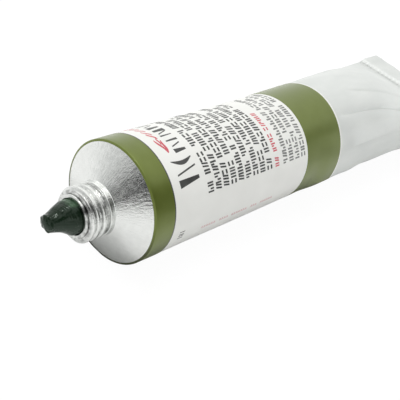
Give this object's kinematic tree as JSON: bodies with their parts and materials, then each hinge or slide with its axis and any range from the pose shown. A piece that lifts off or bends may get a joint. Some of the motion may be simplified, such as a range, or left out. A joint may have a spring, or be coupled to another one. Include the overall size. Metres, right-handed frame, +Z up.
{
  "type": "paint tube",
  "caption": "Collapsible aluminium oil-paint tube, lying uncapped, with a threaded neck, printed wall, folded tail and paint coming out of its mouth.",
  "frame": {"origin": "on the table, under the middle of the tube's length from the bead's tip to the tail's end, below the tube's axis", "axes": "+X along the tube from the mouth to the folded tail, +Z up, and the fold lies along Y"},
  "size_m": [0.1424, 0.039, 0.0249],
  "materials": {
    "bare_aluminium": "satin, impact extruded and turned",
    "inner_lacquer": "clear gold stoved lacquer",
    "seal_latex": "matte latex",
    "white_enamel": "satin stoved enamel",
    "olive_ink": "satin printing ink",
    "charcoal_ink": "matte printing ink",
    "red_ink": "matte printing ink",
    "grey_ink": "matte printing ink",
    "oil_paint": "wet, glossy oil paint"
  },
  "bodies": {
    "tube": {"threaded_head": "bare_aluminium", "sleeve": "bare_aluminium", "tail_crimp": "bare_aluminium", "end_seal": "seal_latex", "inner_lacquer": "inner_lacquer", "base_enamel": "white_enamel", "front_band": "olive_ink", "band_edge_line": "charcoal_ink", "rear_band": "olive_ink", "heading_print": "charcoal_ink", "flourish_print": "red_ink", "name_rows_print": "charcoal_ink", "code_row_print": "red_ink", "footer_rows_print": "grey_ink", "batch_mark_print": "charcoal_ink", "side_line_print": "red_ink", "paint_fill": "oil_paint"},
    "paint": {"paint_bead": "oil_paint"}
  },
  "joints": [
    {"name": "paint_squeeze", "type": "slide", "parent": "tube", "child": "paint", "axis": [-1, 0, 0], "range_m": [0, 0.006]}
  ]
}
